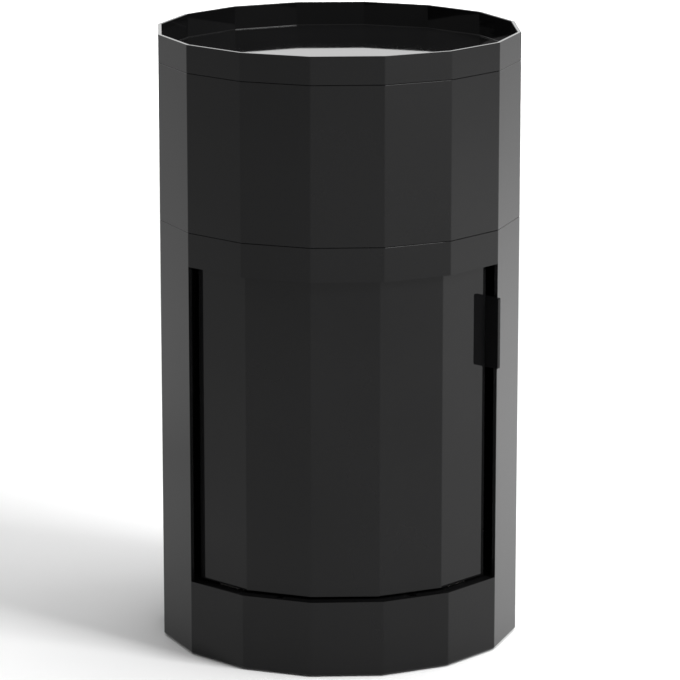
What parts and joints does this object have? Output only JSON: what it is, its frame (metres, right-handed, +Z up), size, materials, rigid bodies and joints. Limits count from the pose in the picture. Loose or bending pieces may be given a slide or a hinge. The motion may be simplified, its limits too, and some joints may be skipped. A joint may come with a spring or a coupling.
{
  "type": "drum storage cabinet",
  "caption": "Faceted black drum side cabinet with a curved door that turns behind the wall, an upper bin and a lift-off tray on top.",
  "frame": {"origin": "on the drum's vertical axis, at the floor under the feet", "axes": "+Z up along the drum's axis, -Y towards the middle of the door opening"},
  "size_m": [0.36, 0.36, 0.62],
  "materials": {
    "gloss_black": "smooth black gloss moulding",
    "handle_black": "smooth black gloss moulding",
    "panel_black": "fine satin black moulding",
    "screw_steel": "bright zinc-plated",
    "screw_black": "black oxide",
    "shoe_plastic": "natural low-friction plastic",
    "stop_rubber": "matt rubber",
    "foot_rubber": "matt rubber"
  },
  "bodies": {
    "cabinet": {"lower_drum": "gloss_black", "upper_drum": "gloss_black", "floor_panel": "gloss_black", "divider_panel": "panel_black", "floor_screws": "screw_black", "drum_screws": "screw_steel", "stop_closed": "stop_rubber", "stop_open": "stop_rubber", "stop_screws": "screw_steel", "foot_front_left": "foot_rubber", "foot_front_right": "foot_rubber", "foot_rear_left": "foot_rubber", "foot_rear_right": "foot_rubber"},
    "door": {"door_panel": "gloss_black", "door_handle": "handle_black", "handle_screws": "screw_steel", "glide_left": "shoe_plastic", "glide_right": "shoe_plastic", "glide_screws": "screw_steel", "guide_left": "shoe_plastic", "guide_right": "shoe_plastic", "guide_screws": "screw_steel"},
    "tray": {"tray": "gloss_black"}
  },
  "joints": [
    {"name": "door_turn", "type": "hinge", "parent": "cabinet", "child": "door", "pos_m": [0, 0, 0.238], "axis": [0, 0, -1], "range_deg": [0, 100]},
    {"name": "tray_lift", "type": "slide", "parent": "cabinet", "child": "tray", "axis": [0, 0, 1], "range_m": [0, 0.15]}
  ]
}
